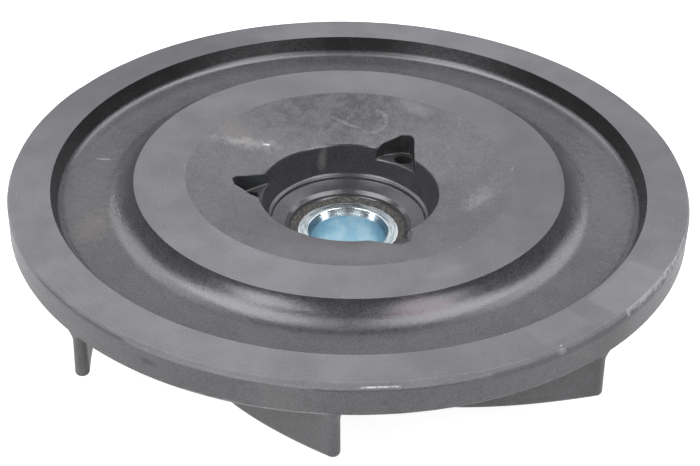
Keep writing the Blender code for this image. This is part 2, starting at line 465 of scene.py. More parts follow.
def cutter(name, layers, fill=None):
    """One object with a cutter for each of the three pockets."""
    build = bmesh.new()
    for turn in round_angles(POCKETS):
        bottom = stack(build, layers, turn)
        if fill:
            fill(build, bottom, turn)
        else:
            build.faces.new(list(reversed(bottom)))
    bmesh.ops.recalc_face_normals(build, faces=build.faces)
    loose = sum(not edge.is_manifold for edge in build.edges)
    piece = as_object(name, build)
    print(name, "has", len(piece.data.polygons), "faces and", loose, "open edges")
    return piece


def take_away(piece, tool):
    """Cuts the tool out of the piece for good and removes the tool."""
    boolean = piece.modifiers.new("Cut", "BOOLEAN")
    boolean.operation = "DIFFERENCE"
    boolean.solver = "EXACT"
    boolean.object = tool
    keep_result(piece)
    bpy.data.objects.remove(tool)


def keep_result(piece):
    """Makes what the modifiers give the piece's own mesh."""
    evaluated = piece.evaluated_get(bpy.context.evaluated_depsgraph_get())
    mesh = bpy.data.meshes.new_from_object(evaluated)
    piece.modifiers.clear()
    piece.data = mesh
    mesh.name = piece.name


take_away(moulding, cutter("pocket_cutters", pocket_layers(), fill_floor))
take_away(moulding, cutter("balance_cutters", hole_layers()))
print("moulding after the pockets:", len(moulding.data.polygons), "faces")

# %% [markdown]
# ## Smooth shading
# Flat faces next to small roundings shade badly when every face has the same say in the normals.
# A Weighted Normal modifier lets the large faces decide, so flats stay flat and the roundings
# carry the whole bend. Edges of more than 35 degrees stay crisp.

# %% Shade a finished skin
def shade(piece, crisp=35.0, turn_out=False):
    """Merges what nearly coincides, turns the faces out if asked, and smooths the normals."""
    build = bmesh.new()
    build.from_mesh(piece.data)
    bmesh.ops.remove_doubles(build, verts=build.verts, dist=0.000006)
    bmesh.ops.dissolve_degenerate(build, edges=build.edges, dist=0.000002)
    if turn_out:
        bmesh.ops.recalc_face_normals(build, faces=build.faces)
    open_edges = sum(not edge.is_manifold for edge in build.edges)
    build.to_mesh(piece.data)
    build.free()
    piece.data.shade_smooth()
    piece.data.set_sharp_from_angle(angle=math.radians(crisp))
    weighted = piece.modifiers.new("Weighted", "WEIGHTED_NORMAL")
    weighted.keep_sharp = True
    keep_result(piece)
    print(piece.name, "has", len(piece.data.polygons), "faces,", open_edges, "open edges")


shade(moulding)

# %% [markdown]
# ## Steel insert
# The insert is a turned sleeve pressed into the tool before the plastic is moulded round it. Its
# upper end stands a little below the plastic step and its bore has a wide lead-in chamfer, so
# that the shaft finds its way in. Every edge carries the small break that a lathe tool leaves.

# %% Turn the insert
BORE = 8.5
INSERT = 11.5
INSERT_FACE = 15.4
insert_section = rounded(
    [
        (INSERT, INSERT_FACE, 0.2),
        (INSERT, HEIGHT, 0.2),
        (9.15, HEIGHT, 0.1),
        (BORE, 29.3, 0.1),
        (BORE, 23.0, 0),
        (BORE, 17.45, 0.3),
        (9.2, INSERT_FACE, 0.12),
    ]
)
insert = skin("steel_insert", turned_rings(insert_section, 192))
shade(insert, 50.0)

# %% [markdown]
# ## Gate scar
# Molten plastic came in through a ring gate round the insert. The sprue was turned off roughly,
# which left a torn, fibrous ring, brown where the heat of the cut scorched it. Its height and both
# its edges wander, so it is a ring of its own whose points are moved by layered noise.

# %% Rough ring round the insert
SCAR_STEPS = 480
SCAR_OUTER = 13.3
SCAR_INNER = 11.28
BITE_ANGLE = 124.0
BITE_WIDTH = 13.0


def rough(angle, radius, size, seed):
    """Smooth noise that closes on itself round the ring."""
    place = Vector((math.cos(angle) * radius, math.sin(angle) * radius, seed))
    return noise.fractal(place * size, 0.9, 2.0, 4)


def scar_ring(k, count):
    """One ring of the scar, k steps in from its outer foot."""
    share = k / (count - 1)
    ring = []
    for angle in round_angles(SCAR_STEPS):
        bite = math.exp(-(((math.degrees(angle) - BITE_ANGLE) / BITE_WIDTH) ** 2))
        outer = SCAR_OUTER - 0.55 * bite + 0.34 * rough(angle, 13.0, 0.8, 2.0)
        inner = SCAR_INNER + 0.14 * rough(angle, 11.0, 0.7, 7.0)
        radius = outer + (inner - outer) * share
        dome = math.sin(math.pi * share) ** 0.5
        depth = 14.95 + 0.42 * share - 0.24 * dome
        depth -= 0.11 * dome * rough(angle, radius, 2.2, 4.0)
        if k in (0, count - 1):
            depth += 0.35
        ring.append(spot(radius, depth, angle))
    return ring


under_scar = turned_rings([(11.3, 15.9), (SCAR_OUTER, 15.9)], SCAR_STEPS)
scar = skin("gate_scar", [scar_ring(k, 15) for k in range(15)] + under_scar)
shade(scar, 80.0)

# %% [markdown]
# ## Arithmetic on nodes
# Node trees are easier to read as formulas. A `Value` is one output socket, and adding or
# multiplying it adds the Math node that does so. A `Nodes` object is one tree, and its `add`
# places any other node. The same two serve the vanes' geometry and all the finishes.

# %% Values and nodes
def both_ways(operation):
    """An operator that adds the Math node of that name, and its reflected form."""

    def forward(value, other):
        return value.nodes.maths(operation, value, other)

    def reflected(value, other):
        return value.nodes.maths(operation, other, value)

    return forward, reflected


class Value:
    """An output socket that Python's arithmetic works on."""

    __add__, __radd__ = both_ways("ADD")
    __sub__, __rsub__ = both_ways("SUBTRACT")
    __mul__, __rmul__ = both_ways("MULTIPLY")
    __truediv__, __rtruediv__ = both_ways("DIVIDE")

    def __init__(self, nodes, socket):
        self.nodes = nodes
        self.socket = socket

    def maths(self, operation, *others):
        """The Math node of that name, with this value as its first term."""
        return self.nodes.maths(operation, self, *others)

    def least(self, other):
        return self.maths("MINIMUM", other)

    def most(self, other):
        return self.maths("MAXIMUM", other)

    def root(self):
        return self.maths("SQRT")

    def part(self, axis):
        """One coordinate of a place."""
        return self.nodes.add("ShaderNodeSeparateXYZ", {}, {0: self}, axis)

    def step(self, low, high):
        """0 below low, 1 above high and a smooth rise between them, or a fall if low is higher."""
        if low > high:
            return 1 - self.step(high, low)
        settings = {"interpolation_type": "SMOOTHSTEP"}
        sockets = {"Value": self, "From Min": low, "From Max": high}
        return self.nodes.add("ShaderNodeMapRange", settings, sockets)


class Nodes:
    """A node tree with one method that adds any node."""

    def __init__(self, tree):
        self.tree = tree

    def add(self, kind, settings=None, sockets=None, output=0):
        node = self.tree.nodes.new(kind)
        for name, value in (settings or {}).items():
            if name == "stops":
                self.set_stops(node.color_ramp, value)
            else:
                setattr(node, name, value)
        for name, value in (sockets or {}).items():
            if isinstance(value, Value):
                self.tree.links.new(value.socket, node.inputs[name])
            else:
                node.inputs[name].default_value = value
        return Value(self, node.outputs[output]) if len(node.outputs) else node

    def maths(self, operation, *terms):
        return self.add("ShaderNodeMath", {"operation": operation}, dict(enumerate(terms)))

    def set_stops(self, ramp, stops):
        while len(ramp.elements) < len(stops):
            ramp.elements.new(1.0)
        for element, (place, colour) in zip(ramp.elements, stops):
            element.position = place
            element.color = colour


print("arithmetic on sockets is ready")

# %% [markdown]
# ## Vanes
# A vane's shape follows rules, so Geometry Nodes make it. A flat grid becomes the vane's skin: one
# way along the grid is the way along the vane, and the other is once round its section. The angle
# to the radius grows inwards along a spiral, the free edge rises outwards, and the section has a
# fillet where it leaves the disc, a slight taper, and a rounded free edge. The outer end is a half
# round and the inner end is a slanted nose. Eight copies stand on the points of a circle; the tree
# keeps the one with the asked number, so that each stays a piece.

# %% Inputs of the vane tree
VANE_INPUTS = {
    "End radius": 73.35,
    "Root radius": 25.0,
    "Nose radius": 32.0,
    "Nose height": 2.0,
    "End angle": math.radians(268.37),
    "End slope": 1.315,
    "Slope growth": 0.94,
    "Slope limit": 2.2,
    "End depth": 18.24,
    "Edge rise": 0.234,
    "Edge thickness": 3.05,
    "Root thickness": 2.6,
    "Fillet width": 0.9,
    "Fillet height": 2.8,
    "Edge rounding": 0.9,
}
tree = bpy.data.node_groups.new("Vane by rule", "GeometryNodeTree")
tree.interface.new_socket("Geometry", in_out="OUTPUT", socket_type="NodeSocketGeometry")


def ask(name, kind, value=None):
    """A named input of the vane tree."""
    socket = tree.interface.new_socket(name, in_out="INPUT", socket_type="NodeSocket" + kind)
    if value is not None:
        socket.default_value = value
    return socket


sockets = {name: ask(name, "Float", value) for name, value in VANE_INPUTS.items()}
for name, value in {"Vane count": 8, "Vane number": 0, "Stations": 97, "Section points": 57}.items():
    sockets[name] = ask(name, "Int", value)
sockets["Finish"] = ask("Finish", "Material")
print("vane inputs:", ", ".join(sockets))

# %% [markdown]
# Along the vane, the stations crowd together at both ends, where the shape turns fastest. The last
# tenth of them stay at the centre of the half-round end and only swing round it.

# %% Stations along the vane
vane = Nodes(tree)
given = tree.nodes.new("NodeGroupInput")
asked = {socket.name: Value(vane, socket) for socket in given.outputs if socket.name}
grid = vane.add(
    "GeometryNodeMeshGrid",
    {},
    {"Vertices X": asked["Stations"], "Vertices Y": asked["Section points"]},
)
flat = vane.add("GeometryNodeInputPosition")
along = flat.part("X") + 0.5
around = flat.part("Y") + 0.5

BODY = 0.9
CROWDING = 0.85
body = (along / BODY).least(1.0)
crowded = body - (body * math.tau).maths("SINE") * (CROWDING / math.tau)
swing = ((along - BODY) / (1 - BODY)).most(0.0) * (math.pi / 2)
radius = asked["Root radius"] + (asked["End radius"] - asked["Root radius"]) * crowded
inward = (asked["End radius"] / radius).maths("LOGARITHM", math.e)
print("nodes so far:", len(tree.nodes))

# %% [markdown]
# The section is worked out at each station from the depth of the flow surface and of the free edge.

# %% Depths and the spiral at each station
curve_share = (FLOW_RADIUS - radius).most(0.0) / (FLOW_RADIUS - NOSE)
curved = (HEIGHT - FLOW_DEPTH) * (1 - curve_share * curve_share).root()
top = HEIGHT - curved - (radius - FLOW_RADIUS).most(0.0) * (FLOW_FALL / (OUTER - FLOW_RADIUS))
edge = asked["End depth"] + asked["Edge rise"] * (asked["End radius"] - radius)
back = (asked["Nose radius"] - radius).most(0.0) / (asked["Nose radius"] - asked["Root radius"])
least = top + asked["Nose height"]
edge = least + (edge - least) * (1 - back * back).most(0.0).root()
height = edge - top

growth = asked["Slope growth"]
limit = (asked["Slope limit"] - asked["End slope"]) / (growth * 2)
bent = inward.least(limit)
turned_by = asked["End slope"] * bent + growth * bent * bent
turned_by = turned_by + asked["Slope limit"] * (inward - bent)
slope = (asked["End slope"] + growth * inward * 2).least(asked["Slope limit"])
stretch = (1 + slope * slope).root()
middle = asked["End angle"] - turned_by
print("nodes so far:", len(tree.nodes))

# %% [markdown]
# Round the section, the skin starts inside the disc, runs down one side, across the free edge and
# up the other side. The free edge is a little thicker than the root, and its corners are round.

# %% Section round the vane
side = ((around - 0.5) * 1000).most(-1.0).least(1.0)
down = 1 - (around * 2 - 1).maths("ABSOLUTE")
spread = (1 - (down * math.pi).maths("COSINE")) / 2
SUNK = 0.5
drop = (height + SUNK) * spread - SUNK
near = (1 - drop / asked["Fillet height"]).most(0.0).least(1.0)
flare = asked["Fillet width"] * (1 - (1 - near * near).root())
rounding = asked["Edge rounding"]
low = ((drop - height + rounding) / rounding).most(0.0).least(1.0)
inset = rounding * (1 - (1 - low * low).root())
taper = asked["Root thickness"] + (asked["Edge thickness"] - asked["Root thickness"]) * (drop / height)
nose = ((radius - asked["Root radius"]) / 1.2).least(1.0)
nose = (1 - (1 - nose) * (1 - nose)).root()
size = (taper / 2 + flare - inset) * nose * (down * 1000).least(1.0)
print("nodes so far:", len(tree.nodes))

# %% [markdown]
# The values give each point's angle, radius and height. Near the outer end the section stands
# square to the vane, so that its end can be half round; further in it follows a circle round the
# shaft. Merging what coincides closes the seam and both ends, and Realize Instances turns the
# placed copy into real faces.

# %% Place the skin, copy it round and keep one
square = radius.step(50.0, 60.0)
half = side * size * swing.maths("COSINE")
beyond = size * swing.maths("SINE")
outward = beyond / stretch - half * square * slope / stretch
sideways = beyond * slope / stretch + half * (stretch - square * slope * slope / stretch)
reach = (radius + outward).least(OUTER - 0.05) * MM
angle = middle + sideways / radius
place = vane.add(
    "ShaderNodeCombineXYZ",
    {},
    {
        "X": reach * angle.maths("COSINE"),
        "Y": reach * angle.maths("SINE"),
        "Z": (HEIGHT - top - drop) * MM,
    },
)
shaped = vane.add("GeometryNodeSetPosition", {}, {"Geometry": grid, "Position": place})
merged = vane.add("GeometryNodeMergeByDistance", {}, {"Geometry": shaped, "Distance": 0.00001})
circle = vane.add("GeometryNodeMeshCircle", {}, {"Vertices": asked["Vane count"], "Radius": 0.0})
number = vane.add("GeometryNodeInputIndex")
wanted = number.maths("COMPARE", asked["Vane number"], 0.1)
turn = vane.add("ShaderNodeCombineXYZ", {}, {"Z": number * math.tau / asked["Vane count"]})
placed = vane.add(
    "GeometryNodeInstanceOnPoints",
    {},
    {"Points": circle, "Selection": wanted, "Instance": merged, "Rotation": turn},
)
real = vane.add("GeometryNodeRealizeInstances", {}, {"Geometry": placed})
smooth = vane.add("GeometryNodeSetShadeSmooth", {}, {"Geometry": real})
done = vane.add("GeometryNodeSetMaterial", {}, {"Geometry": smooth, "Material": asked["Finish"]})
result = tree.nodes.new("NodeGroupOutput")
tree.links.new(done.socket, result.inputs["Geometry"])
print("vane tree:", len(tree.nodes), "nodes")

# %% [markdown]
# Each vane is a mesh with the tree as its modifier. The inputs are set before the first
# evaluation, the result becomes the vane's own mesh, and the faces are turned outwards.

# %% One vane as a plain mesh
def make_vane(number, finish):
    """The vane of one number as a plain mesh."""
    piece = as_object(f"moulded_vane_{number + 1}", bmesh.new())
    rule = piece.modifiers.new("Vane by rule", "NODES")
    rule.node_group = tree
    rule[sockets["Vane number"].identifier] = number
    rule[sockets["Finish"].identifier] = finish
    keep_result(piece)
    shade(piece, 50.0, turn_out=True)
    return piece


print("the vane rule takes", len(sockets), "inputs")

# %% [markdown]
# ## Finishes
# Every finish reads Object coordinates, which are metres on the real part, so grain keeps its real
# size. Most marks on a turned part follow its axis, so a few helpers give the radius, the angle
# and the depth below the back face at each point, and then noise and colour mixing in few words.

# %% Helpers for finishes
def new_finish(name):
    """A new material with an empty tree, and that tree."""
    material = bpy.data.materials.new(name)
    material.use_nodes = True
    material.node_tree.nodes.clear()
    return material, Nodes(material.node_tree)


def where(nodes):
    """The place, the radius and the depth in millimetres, and the angle in turns from 0 to 1."""
    place = nodes.add("ShaderNodeTexCoord", {}, {}, "Object")
    x, y, z = (place.part(axis) / MM for axis in "XYZ")
    radius = (x * x + y * y).root()
    turns = y.maths("ARCTAN2", x) / math.tau
    return place, radius, HEIGHT - z, turns - turns.maths("FLOOR")


def cloud(place, size, detail=3.0, roughness=0.5):
    """Soft noise from 0 to 1 with blotches of about that size in millimetres."""
    sockets = {"Vector": place, "Scale": 1.0 / (size * MM), "Detail": detail, "Roughness": roughness}
    return place.nodes.add("ShaderNodeTexNoise", {}, sockets)


def feed_marks(across, roughness):
    """Noise along one distance only, as the feed of a lathe tool leaves it."""
    sockets = {"W": across, "Scale": 1.0, "Detail": 2.0, "Roughness": roughness}
    return across.nodes.add("ShaderNodeTexNoise", {"noise_dimensions": "1D"}, sockets)


def blend(share, first, second):
    """A colour between two colours."""
    sockets = {0: share, 6: first, 7: second}
    return share.nodes.add("ShaderNodeMix", {"data_type": "RGBA"}, sockets, 2)


def bumps(height, depth):
    """A normal from a height between 0 and 1, which stands for a depth in millimetres."""
    sockets = {"Height": height, "Distance": depth * MM, "Strength": 1.0}
    return height.nodes.add("ShaderNodeBump", {}, sockets)


def surface(nodes, sockets):
    """The shader and the output of a finish."""
    shader = nodes.add("ShaderNodeBsdfPrincipled", {}, sockets)
    nodes.add("ShaderNodeOutputMaterial", {}, {"Surface": shader})


print("helpers for finishes are ready")

# %% [markdown]
# Handling leaves marks: smears of release wax and machining dust, and short scratches. Each mark has
# its own place on the part. A smear is an oval of torn noise, a scratch is a thin line between two
# points, and both fade out towards their ends. Some smears and bands are painted light instead:
# painted shade along the trimmed edge, a painted highlight on the lower edge and painted sheen.

# %% Smears and scratches
def offset(place, x, y, turn):
    """Distances in millimetres along and across a line through a point of the part."""
    cosine = math.cos(math.radians(turn))
    sine = math.sin(math.radians(turn))
    px = place.part("X") / MM - x
    py = place.part("Y") / MM - y
    return px * cosine + py * sine, py * cosine - px * sine


def thin_line(place, off, width):
    """A thin, broken line where the distance off it is near nothing."""
    broken = cloud(place, 0.7, 3.0, 0.7).step(0.30, 0.62)
    return off.maths("ABSOLUTE").step(width, width * 0.3) * broken


def smear(x, y, length, width, turn, torn=1.0):
    """A mark that is an oval of soft, torn noise."""

    def shape(place, radius, angle):
        along, across = offset(place, x, y, turn)
        far = (along * along / length**2 + across * across / width**2).root()
        ragged = cloud(place, 1.6, 5.0, 0.75) - 0.5
        return (far + ragged * (2.2 * torn)).step(1.15, 0.15)

    return shape


def scratch(x, y, length, width, turn, bow=0.0):
    """A mark that is a thin line, straight or a little bowed."""

    def shape(place, radius, angle):
        along, across = offset(place, x, y, turn)
        across = across - (1 - along * along / length**2) * bow
        return thin_line(place, across, width) * along.maths("ABSOLUTE").step(length, length * 0.7)

    return shape


def curl(x, y, size, width, turn):
    """A mark that is most of a circle, open towards one side."""

    def shape(place, radius, angle):
        along, across = offset(place, x, y, turn)
        off = (along * along + across * across).root() - size
        return thin_line(place, off, width) * along.step(0.7, 0.0)

    return shape


def sector(first, last, inner, outer):
    """A mark that fills a sector between two angles in degrees and two radii."""

    def shape(place, radius, angle):
        degrees = angle * 360
        share = degrees.step(first - 0.4, first + 0.4) * degrees.step(last + 0.4, last - 0.4)
        ragged = radius + (cloud(place, 1.0, 3.0, 0.7) - 0.5) * 3.0
        return share * ragged.step(inner - 0.5, inner + 0.5) * ragged.step(outer + 0.5, outer - 0.5)

    return shape


def band(first, last, upper, lower):
    """A mark on the side between two angles in degrees and two depths."""

    def shape(place, radius, angle):
        degrees = angle * 360
        share = degrees.step(first, first + 1.5) * degrees.step(last, last - 1.5)
        ragged = HEIGHT - place.part("Z") / MM + (cloud(place, 1.5, 4.0, 0.7) - 0.5) * 0.7
        edge = (lower - upper) * 0.3
        return share * ragged.step(upper, upper + edge) * ragged.step(lower, lower - edge)

    return shape


print("marks: smear, scratch, curl, sector and band")

# %% [markdown]
# The plastic is a dark nylon with short glass fibres. Where it was moulded, a skin of pure nylon
# hides them and the colour is a dull charcoal. Where it was faced on a lathe, the cut fibres show
# as a pale grey with fine flecks and faint rings.

# %% Moulded plastic
def grey(level, warm=0.0):
    """A grey of the plastic, which leans a little to violet, or to brown if it is warm."""
    return (level * (1 + 0.4 * warm), level, level * (1.05 - 0.5 * warm), 1.0)


def moulded_plastic(name, level, gloss, contrast, grain, marks=(), rough_side=None):
    """Charcoal plastic with blotches, a fine grain, its marks and painted light, rougher on one side.
    """
    material, nodes = new_finish(name)
    place, radius, _, angle = where(nodes)
    blotch = cloud(place, 6.0, 4.0, 0.6).step(0.30, 0.70)
    patch = cloud(place, 1.3, 3.0, 0.6).step(0.35, 0.65)
    fine = cloud(place, 0.38, 3.0, 0.8).step(0.34, 0.66)
    tone = blotch * 0.2 + patch * 0.12 + fine * 0.68
    colour = blend(tone, grey(level * (1 - contrast)), grey(level * (1 + 1.5 * contrast), 0.04))
    gloss_here = gloss + blotch * 0.03 + fine * 0.04
    if rough_side:
        share = rough_side(place, radius, angle)
        torn = cloud(place, 0.6, 4.0, 0.8).step(0.30, 0.70) * 0.5
        torn = torn + cloud(place, 3.0, 4.0, 0.65).step(0.38, 0.62) * 0.5
        coarse = blend(torn, grey(level * 0.06), grey(level * 1.15))
        colour = blend(share, colour, coarse)
        gloss_here = gloss_here + share * (fine * 0.25)
    for shape, tint, strength in marks:
        share = shape(place, radius, angle) * strength
        colour = blend(share, colour, tint)
        gloss_here = gloss_here + share * 0.15
    normal = bumps(fine * 0.6 + patch * 0.4, grain)
    surface(nodes, {"Base Color": colour, "Roughness": gloss_here, "Normal": normal})
    return material


def faced_plastic(name, level, shades, marks=()):
    """Pale grey where a lathe tool cut the fibres. The shades, factors round the part, are painted
    sheen.
    """
    material, nodes = new_finish(name)
    place, radius, _, angle = where(nodes)
    blotch = cloud(place, 9.0, 4.0, 0.6).step(0.3, 0.7)
    fine = cloud(place, 0.4, 3.0, 0.7)
    rings = feed_marks(radius * 3.0, 0.7)
    speck = cloud(place, 0.35, 1.0, 0.3).step(0.74, 0.82)
    tone = blotch * 0.35 + fine.step(0.3, 0.7) * 0.45 + rings.step(0.3, 0.7) * 0.2
    # painted sheen: the tone rises and falls round the part, as the lathe rings catch the light
    stops = [(turn, (level * factor,) * 3 + (1.0,)) for turn, factor in shades]
    base = nodes.add("ShaderNodeValToRGB", {"stops": stops}, {0: angle})
    colour = nodes.add(
        "ShaderNodeMix",
        {"data_type": "RGBA", "blend_type": "MULTIPLY"},
        {0: 1.0, 6: base, 7: blend(tone, grey(0.68), grey(1.38))},
        2,
    )
    colour = blend(speck * 0.45, colour, grey(0.30))
    for shape, tint, strength in marks:
        colour = blend(shape(place, radius, angle) * strength, colour, tint)
    normal = bumps(rings * 0.6 + fine * 0.4, 0.02)
    surface(nodes, {"Base Color": colour, "Roughness": 0.5 + fine * 0.12, "Normal": normal})
    return material


# Painted sheen of the faced rim and plateau: factors of their tone by turn round the part.
RIM_SHEEN_SHADES = [
    (0.0, 0.78), (0.08, 0.90), (0.2, 1.15), (0.28, 1.12), (0.335, 0.72), (0.42, 0.68),
    (0.5, 0.95), (0.6, 1.08), (0.68, 1.18), (0.76, 1.08), (0.83, 0.85), (0.915, 0.95), (1.0, 0.78),
]
PLATEAU_SHEEN_SHADES = [
    (0.0, 0.72), (0.1, 0.88), (0.2, 1.12), (0.45, 1.0), (0.56, 1.0), (0.66, 1.28),
    (0.76, 1.1), (0.84, 0.94), (0.93, 0.78), (1.0, 0.72),
]
PALE = (0.42, 0.42, 0.42, 1.0)
# a pale haze: real dust in most marks, painted sheen in the groove and on the near dish
DUST_AND_SHEEN = (0.16, 0.155, 0.15, 1.0)
BROWN = (0.092, 0.082, 0.074, 1.0)
DARK = (0.012, 0.012, 0.013, 1.0)
RIM_MARKS = [
    (sector(301.5, 311.5, 65.9, 72.5), DUST_AND_SHEEN, 0.10),
    (sector(316.0, 331.0, 66.5, 74.6), DUST_AND_SHEEN, 0.16),
    (scratch(40.9, -62.2, 1.2, 0.10, 60), PALE, 0.8),
    (scratch(-70.8, 12.0, 2.5, 0.07, 20), PALE, 0.2),
]
PLATEAU_MARKS = [
    (scratch(-38.5, -12.5, 3.0, 0.08, 72), PALE, 0.12),
    (scratch(36.5, 2.8, 0.9, 0.12, 80), PALE, 0.5),
    (smear(20.0, -37.5, 6.0, 2.5, 28), DUST_AND_SHEEN, 0.12),
]
EDGE_MARKS_AND_SHADE = [
    (scratch(6.6, -74.3, 4.2, 0.13, 5), PALE, 0.8),
    # painted shade: dark bands in the crease where the trimmed facet meets the side
    (band(264.0, 290.0, 1.1, 1.7), DARK, 0.5),
    (band(291.0, 331.0, 0.6, 2.0), DARK, 0.5),
    (band(196.0, 236.0, 0.4, 1.4), DARK, 0.6),
    (band(302.6, 304.9, 0.1, 1.7), PALE, 0.25),
    (sector(318.0, 342.0, 73.9, 74.7), PALE, 0.35),
]
GROOVE_MARKS_AND_SHEEN = [
    (scratch(-56.5, 10.8, 1.7, 0.14, -2), PALE, 0.9),
    (scratch(-50.2, -11.5, 3.4, 0.10, 108), PALE, 0.2),
    (scratch(-52.0, -6.0, 1.4, 0.08, 75), PALE, 0.2),
    (smear(15.0, -46.9, 8.5, 1.7, 17, 0.7), (0.095, 0.070, 0.074, 1.0), 0.7),
    (smear(-55.0, -17.0, 9.0, 5.0, 70), (0.070, 0.060, 0.052, 1.0), 0.4),
    # painted sheen: a pale haze on the groove floor at the left and the right
    (smear(-57.0, 0.0, 9.0, 30.0, 0), DUST_AND_SHEEN, 0.09),
    (smear(57.0, 0.0, 9.0, 30.0, 0), DUST_AND_SHEEN, 0.09),
]
DISH_MARKS_AND_SHEEN = [
    (smear(-27.0, 19.0, 10.0, 5.5, -20, 1.4), BROWN, 0.38),
    # painted sheen: a pale haze that lightens the near slope of the dish
    (smear(0.0, -29.0, 27.0, 8.0, 0), DUST_AND_SHEEN, 0.14),
    (smear(-23.5, 16.0, 8.5, 1.8, 8, 1.6), DUST_AND_SHEEN, 0.5),
    (scratch(-19.4, 16.6, 0.9, 0.4, 0), PALE, 0.7),
    (scratch(-1.0, 26.9, 4.6, 0.55, -26.6, -0.3), DUST_AND_SHEEN, 0.36),
    (curl(5.0, 27.3, 3.6, 0.55, 155), DUST_AND_SHEEN, 0.36),
    (smear(28.5, -6.5, 5.0, 3.4, 60, 1.6), DUST_AND_SHEEN, 0.35),
    (smear(15.0, 31.0, 6.0, 2.5, -30), DUST_AND_SHEEN, 0.25),
]
RECESS_MARKS = [
    (smear(-6.3, 18.3, 1.6, 0.8, 40, 0.4), DUST_AND_SHEEN, 0.3),
    (smear(13.8, -4.0, 3.4, 1.8, -75, 0.3), DARK, 1.0),
]
SKIN_MARKS_SHADE_AND_HIGHLIGHT = [
    # painted shade: dark bands in the crease below the trimmed facet
    (band(265.0, 288.0, 1.25, 1.65), DARK, 0.6),
    (band(291.0, 331.0, 0.9, 2.3), DARK, 0.35),
    (band(198.0, 236.0, 0.6, 1.6), DARK, 0.35),
    # partly a pale rubbed burr, partly a painted highlight: pale bands along the disc's lower edge
    (band(245.0, 268.5, 6.75, 7.35), PALE, 0.25),
    (band(269.0, 320.0, 6.9, 7.4), PALE, 0.12),
    (band(302.6, 304.9, 0.1, 1.7), PALE, 0.25),
    (smear(-12.0, -74.0, 9.0, 3.0, 0), DUST_AND_SHEEN, 0.15),
    (smear(52.0, -54.0, 9.0, 4.0, 40), DARK, 0.35),
    (band(237.8, 241.6, 2.6, 4.4), DARK, 0.6),
]
EVEN = [(0.0, 1.0), (1.0, 1.0)]
FAR_SIDE = smear(-1.0, 31.0, 32.0, 15.0, 0, 0.7)
finishes = {
    "rim": faced_plastic("faced_rim", 0.060, RIM_SHEEN_SHADES, RIM_MARKS),
    "plateau": faced_plastic("faced_plateau", 0.058, PLATEAU_SHEEN_SHADES, PLATEAU_MARKS),
    "trimmed": faced_plastic("trimmed_plastic", 0.085, EVEN, EDGE_MARKS_AND_SHADE),
    "groove": moulded_plastic("groove_plastic", 0.028, 0.15, 0.45, 0.015, GROOVE_MARKS_AND_SHEEN),
    # painted shade: the groove's outer wall takes a darker copy of the groove plastic
    "groove_wall": moulded_plastic("shaded_groove_wall_plastic", 0.008, 0.22, 0.5, 0.02),
    "dish": moulded_plastic("dish_plastic", 0.044, 0.42, 0.5, 0.06, DISH_MARKS_AND_SHEEN, FAR_SIDE),
    "recess": moulded_plastic("recess_plastic", 0.026, 0.12, 0.3, 0.008, RECESS_MARKS),
    # painted shade: a darker copy of the moulded plastic inside the pockets
    "pocket": moulded_plastic("shaded_pocket_plastic", 0.014, 0.35, 0.5, 0.03),
    "skin": moulded_plastic("moulded_plastic", 0.045, 0.38, 0.42, 0.05, SKIN_MARKS_SHADE_AND_HIGHLIGHT),
}
print("plastic finishes:", ", ".join(sorted(finishes)))

# %% [markdown]
# Torn plastic scatters light from broken fibres and holds dust. Its grain is coarse, brown in the
# hollows and pale on the tops, and it has no gloss.

# %% Torn plastic of the gate scar
def torn_plastic(name):
    """Brown, fibrous and dull."""
    material, nodes = new_finish(name)
    place = where(nodes)[0]
    grain = cloud(place, 0.5, 5.0, 0.75)
    patch = cloud(place, 2.5, 3.0, 0.5).step(0.35, 0.65)
    brown = blend(patch, (0.005, 0.005, 0.004, 1.0), (0.012, 0.011, 0.009, 1.0))
    colour = blend(grain.step(0.48, 0.66), brown, (0.085, 0.076, 0.056, 1.0))
    surface(nodes, {"Base Color": colour, "Roughness": 0.8, "Normal": bumps(grain, 0.25)})
    return material


finishes["scar"] = torn_plastic("torn_plastic")
print("finish of the scar:", finishes["scar"].name)

# %% [markdown]
# The insert is turned steel with a bright zinc coat. Its bore has the blue tint of the passivation,
# which thins to silver at the edges where the light catches the tool's feed marks.

# %% Zinc-plated steel
def zinc_plate(name):
    """Bright zinc with feed marks and a painted highlight round the face's edge, blue in the bore."""
    material, nodes = new_finish(name)
    place, radius, depth, _ = where(nodes)
    swept = {axis: place.part(axis) / MM / radius * 3 for axis in "XY"}
    swept = nodes.add("ShaderNodeCombineXYZ", {}, {**swept, "Z": radius * 2.5})
    arcs = nodes.add("ShaderNodeTexNoise", {}, {"Vector": swept, "Scale": 1.0, "Detail": 3.0})
    arcs = arcs.step(0.3, 0.7)
    cloudy = cloud(place, 3.0, 3.0, 0.6)
    feed = feed_marks(radius * 7.0 + depth * 5.0, 0.8)
    inside = radius.step(BORE + 0.2, BORE + 0.02)
    face = radius.step(9.2, 9.4)
    rim = radius.step(10.7, 11.2)
    colour = blend(arcs, (0.30, 0.38, 0.40, 1.0), (0.62, 0.68, 0.68, 1.0))
    colour = blend(face, (0.66, 0.70, 0.71, 1.0), colour)
    # painted highlight: a bright ring along the outer edge of the insert's face
    colour = blend(rim * 0.7, colour, (0.82, 0.84, 0.84, 1.0))
    blue = blend(cloudy.step(0.3, 0.7), (0.27, 0.45, 0.56, 1.0), (0.40, 0.55, 0.61, 1.0))
    surface(
        nodes,
        {
            "Base Color": blend(inside, colour, blue),
            "Metallic": 1.0,
            "Roughness": 0.14 + face * 0.10 + arcs * 0.10 + inside * 0.2,
            "Normal": bumps(feed * (face + inside), 0.02),
        },
    )
    return material


finishes["zinc"] = zinc_plate("zinc_plate")
print("metal finish:", finishes["zinc"].name)

